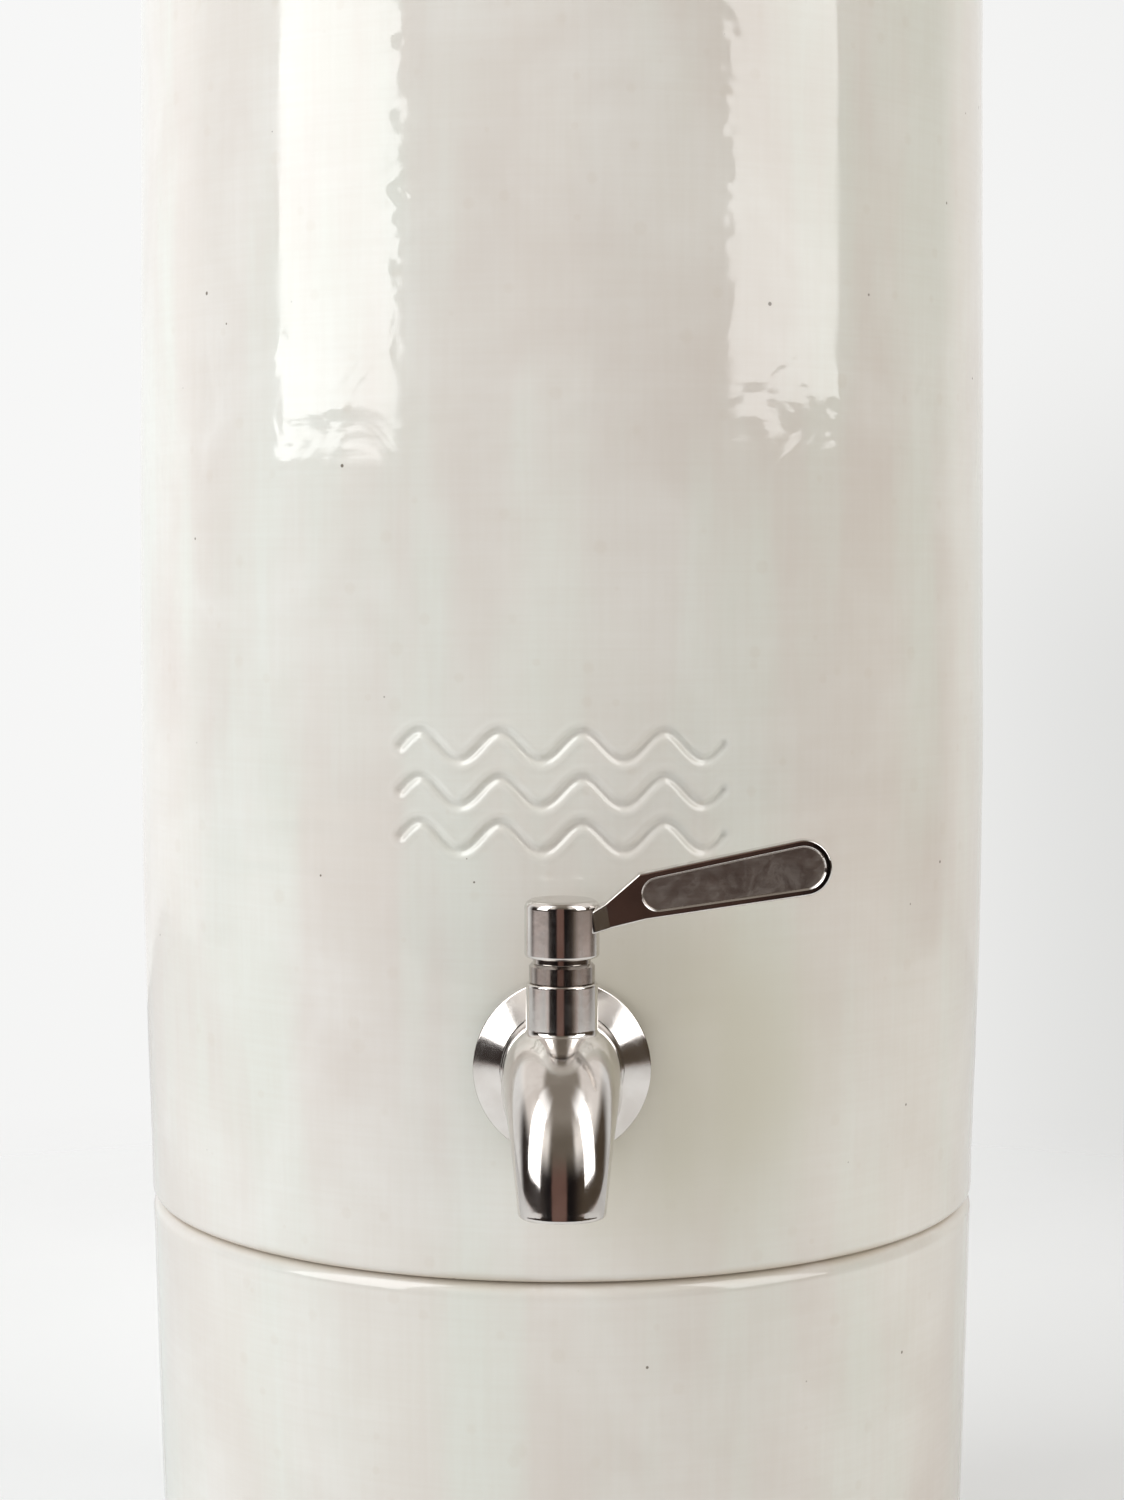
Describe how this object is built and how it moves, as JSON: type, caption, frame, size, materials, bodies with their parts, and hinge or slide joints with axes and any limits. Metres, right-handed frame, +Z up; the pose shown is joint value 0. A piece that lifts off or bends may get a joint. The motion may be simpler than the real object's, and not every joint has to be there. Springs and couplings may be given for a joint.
{
  "type": "gravity water filter",
  "caption": "Glazed ceramic gravity water filter: a lidded filter vessel hangs in a tall crock with a steel lever tap, on a ring stand.",
  "frame": {"origin": "on the crock's axis at the table, at the centre of the stand's open bore", "axes": "+Z up along the crock's axis; the tap faces -Y; +X is where the closed lever points"},
  "size_m": [0.25, 0.3136, 0.625],
  "materials": {
    "glaze": "warm off-white gloss glaze",
    "filter_ceramic": "unglazed, chalky",
    "polished_steel": "mirror polished stainless steel",
    "carbon": "matt black pressed carbon block",
    "white_plastic": "moulded, satin",
    "silicone": "translucent white silicone, matt",
    "black_rubber": "black nitrile rubber"
  },
  "bodies": {
    "root": {"stand": "glaze"},
    "crock_body": {"crock": "glaze", "tap_body": "polished_steel", "escutcheon": "polished_steel", "outer_washer": "silicone", "inner_washer": "silicone", "steel_washer": "polished_steel", "lock_nut": "polished_steel", "bonnet": "polished_steel", "port_seal": "black_rubber"},
    "lever_body": {"lever": "polished_steel", "grub_screw": "polished_steel", "spindle": "polished_steel", "valve_plug": "polished_steel", "plug_o_ring": "black_rubber", "spindle_o_ring": "black_rubber"},
    "vessel_body": {"filter_vessel": "glaze", "left_ceramic_dome": "filter_ceramic", "right_ceramic_dome": "filter_ceramic", "left_carbon_core": "carbon", "right_carbon_core": "carbon", "left_candle_mount": "white_plastic", "right_candle_mount": "white_plastic", "left_mount_seal": "silicone", "right_mount_seal": "silicone", "left_wing_nut": "white_plastic", "right_wing_nut": "white_plastic"},
    "lid_body": {"lid": "glaze"}
  },
  "joints": [
    {"name": "crock_lift", "type": "slide", "parent": "root", "child": "crock_body", "axis": [0, 0, 1], "range_m": [0, 0.08]},
    {"name": "tap_lever", "type": "hinge", "parent": "crock_body", "child": "lever_body", "pos_m": [0, -0.15112, 0.2055], "axis": [0, 0, 1], "range_deg": [-90, 0]},
    {"name": "vessel_lift", "type": "slide", "parent": "crock_body", "child": "vessel_body", "axis": [0, 0, 1], "range_m": [0, 0.24]},
    {"name": "lid_lift", "type": "slide", "parent": "vessel_body", "child": "lid_body", "axis": [0, 0, 1], "range_m": [0, 0.07]}
  ]
}
